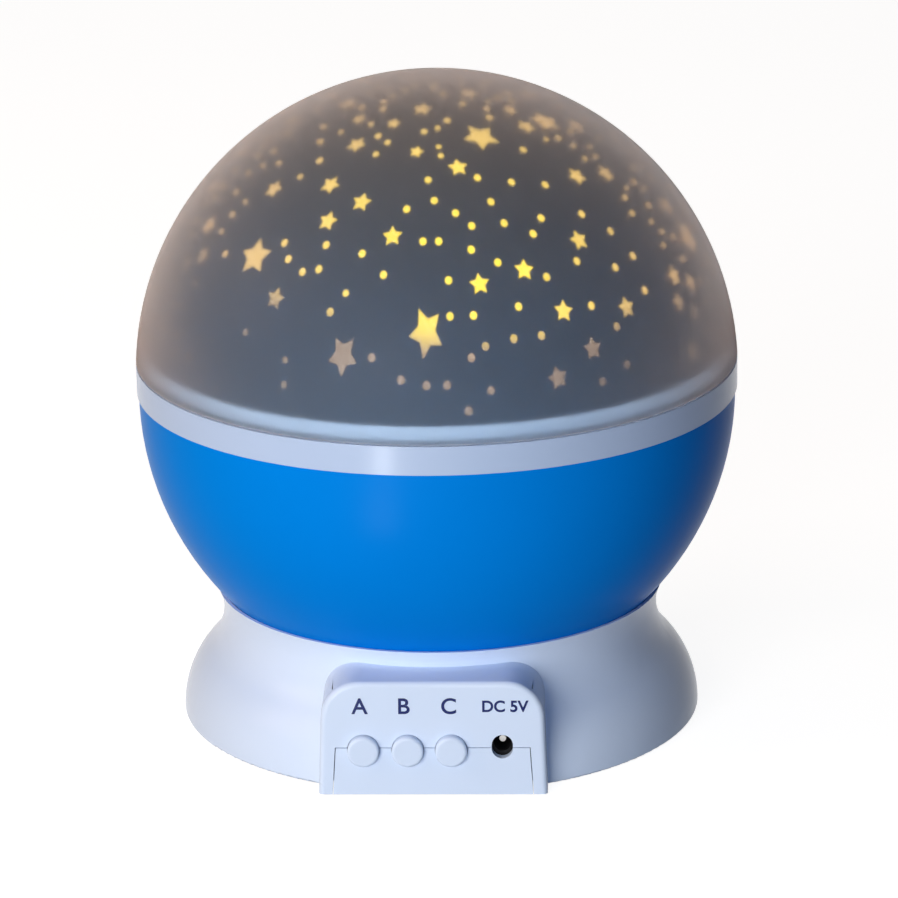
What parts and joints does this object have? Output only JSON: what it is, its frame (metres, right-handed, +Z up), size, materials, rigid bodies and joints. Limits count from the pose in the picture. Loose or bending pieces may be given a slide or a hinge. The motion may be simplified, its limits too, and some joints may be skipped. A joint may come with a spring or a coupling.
{
  "type": "star night light projector",
  "caption": "Table night light: frosted globe over a motor-turned star dome, on a bowl and a bell foot with push buttons and a power socket.",
  "frame": {"origin": "on the table under the middle of the lamp, at the bottom of the rubber feet", "axes": "+Z up along the star dome's axis; -Y is the front, with the buttons; +X to the right as seen from the front"},
  "size_m": [0.1204, 0.1204, 0.1313],
  "materials": {
    "frosted_globe": "translucent, frosted",
    "star_dome": "dark, satin",
    "white_plastic": "moulded, glossy",
    "blue_plastic": "moulded, satin gloss",
    "pinion_plastic": "moulded",
    "steel": "plated",
    "lamp_board": "white solder mask",
    "chip_warm": "phosphor",
    "chip_colour": "clear",
    "motor_can": "plated",
    "circuit_board": "green solder mask",
    "black_plastic": "moulded",
    "rubber": "soft",
    "battery_sleeve": "printed sleeve, plain",
    "lead": "insulation"
  },
  "bodies": {
    "lamp_base": {"base_shell": "white_plastic", "battery_cell_1": "battery_sleeve", "battery_cell_2": "battery_sleeve", "battery_cell_3": "battery_sleeve", "battery_cell_4": "battery_sleeve", "bottom_cover": "white_plastic", "bowl": "blue_plastic", "bowl_screws": "steel", "contact_plates": "steel", "contact_springs": "steel", "control_board": "circuit_board", "cover_screws": "steel", "deck_screws": "steel", "gear_motor": "motor_can", "lamp_board": "lamp_board", "light_chip_blue": "chip_colour", "light_chip_green": "chip_colour", "light_chip_red": "chip_colour", "light_chip_warm": "chip_warm", "lights_lead": "lead", "motor_lead": "lead", "motor_screws": "steel", "power_socket": "black_plastic", "retaining_clip": "steel", "rubber_feet": "rubber", "socket_pin": "steel", "tact_switch_a": "black_plastic", "tact_switch_b": "black_plastic", "tact_switch_c": "black_plastic", "upper_deck": "white_plastic"},
    "globe": {"outer_dome": "frosted_globe"},
    "star_carrier": {"star_dome": "star_dome", "turntable": "white_plastic"},
    "pinion": {"drive_pinion": "pinion_plastic", "motor_shaft": "steel"},
    "button_a_body": {"button_a": "white_plastic"},
    "button_b_body": {"button_b": "white_plastic"},
    "button_c_body": {"button_c": "white_plastic"},
    "door": {"battery_door": "white_plastic"}
  },
  "joints": [
    {"name": "globe_lift", "type": "slide", "parent": "lamp_base", "child": "globe", "axis": [0, 0, 1], "range_m": [0, 0.06]},
    {"name": "star_dome_spin", "type": "hinge", "parent": "lamp_base", "child": "star_carrier", "pos_m": [0, 0, 0.0755], "axis": [0, 0, 1], "continuous": true},
    {"name": "pinion_spin", "type": "hinge", "parent": "lamp_base", "child": "pinion", "pos_m": [0.0248, 0, 0.0724], "axis": [0, 0, 1], "continuous": true},
    {"name": "button_a_press", "type": "slide", "parent": "lamp_base", "child": "button_a_body", "axis": [0, 1, 0], "range_m": [0, 0.0008], "stiffness_N_per_m": 300, "springref_m": -0.001},
    {"name": "button_b_press", "type": "slide", "parent": "lamp_base", "child": "button_b_body", "axis": [0, 1, 0], "range_m": [0, 0.0008], "stiffness_N_per_m": 300, "springref_m": -0.001},
    {"name": "button_c_press", "type": "slide", "parent": "lamp_base", "child": "button_c_body", "axis": [0, 1, 0], "range_m": [0, 0.0008], "stiffness_N_per_m": 300, "springref_m": -0.001},
    {"name": "battery_door_swing", "type": "hinge", "parent": "lamp_base", "child": "door", "pos_m": [0, 0.02815, 0.0018], "axis": [1, 0, 0], "range_deg": [0, 90]}
  ],
  "couplings": [
    {"joint": "pinion_spin", "follows": "star_dome_spin", "ratio": -4.1667}
  ]
}
